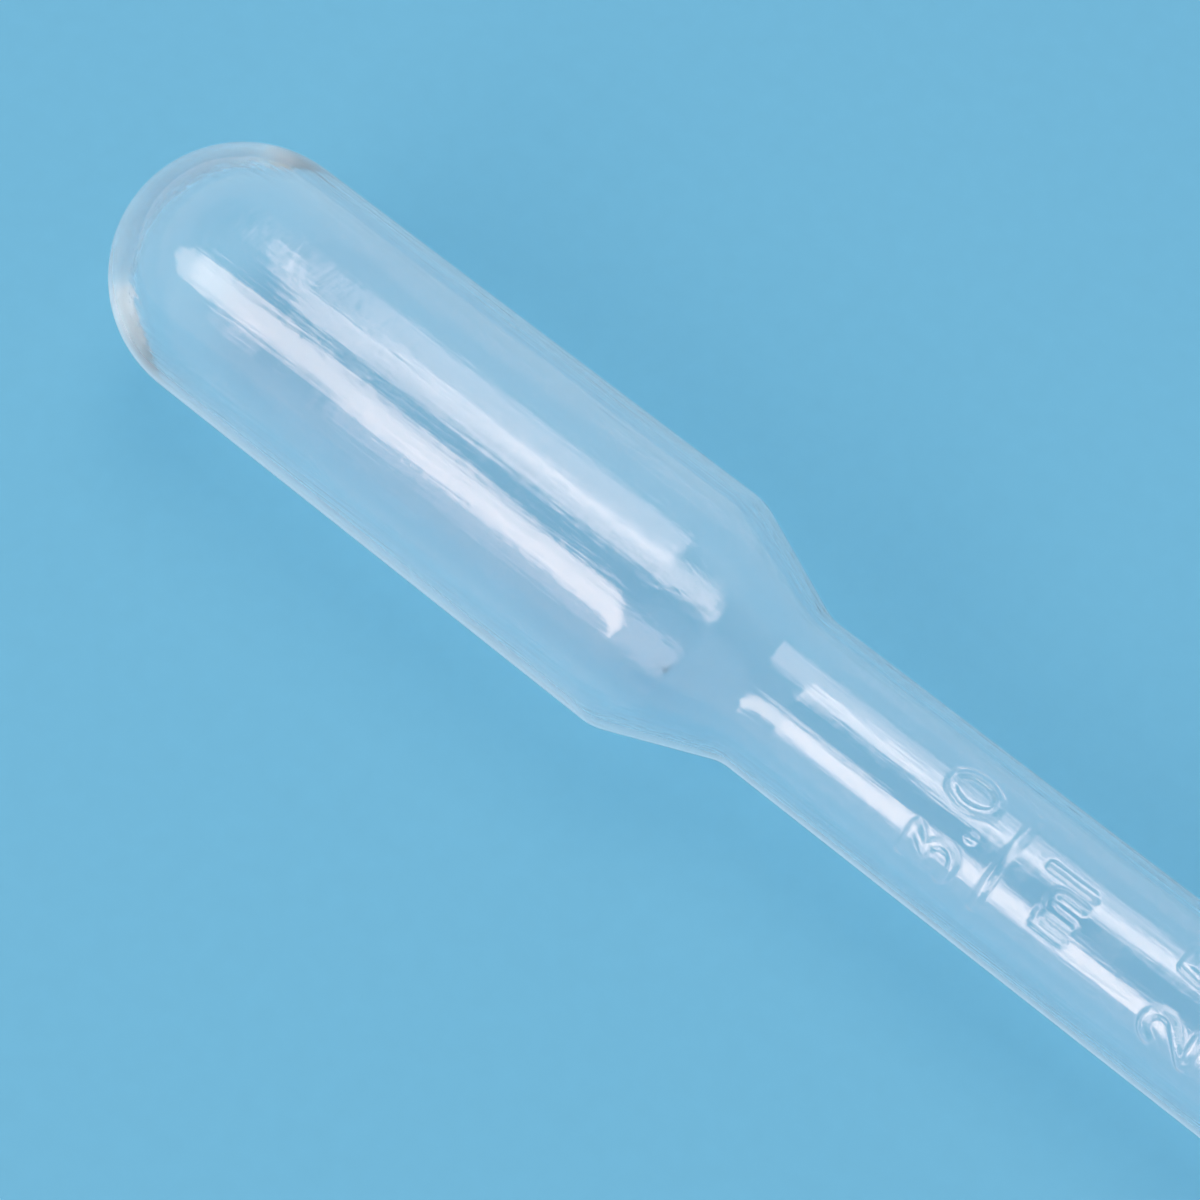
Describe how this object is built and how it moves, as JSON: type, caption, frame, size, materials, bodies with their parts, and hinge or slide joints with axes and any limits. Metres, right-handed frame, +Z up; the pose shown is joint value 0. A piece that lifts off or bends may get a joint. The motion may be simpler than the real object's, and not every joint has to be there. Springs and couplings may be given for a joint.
{
  "type": "plastic dropper pipette",
  "caption": "Translucent plastic dropper pipette lying on its side: a domed squeeze bulb, a short shoulder, a straight stem with raised graduation ribs, and a taper to a slender open tip.",
  "frame": {"origin": "centre of the bounding box's underside, on the surface that the pipette lies on", "axes": "+Z up from that surface; +X along the length as seen from above, from the bulb towards the open tip; the scale faces up and a little towards -Y"},
  "size_m": [0.155, 0.0126, 0.0134],
  "materials": {
    "clear_polyethylene": "translucent low-density polyethylene with a smooth, slightly waxy gloss"
  },
  "bodies": {
    "root": {"pipette": "clear_polyethylene"}
  },
  "joints": []
}
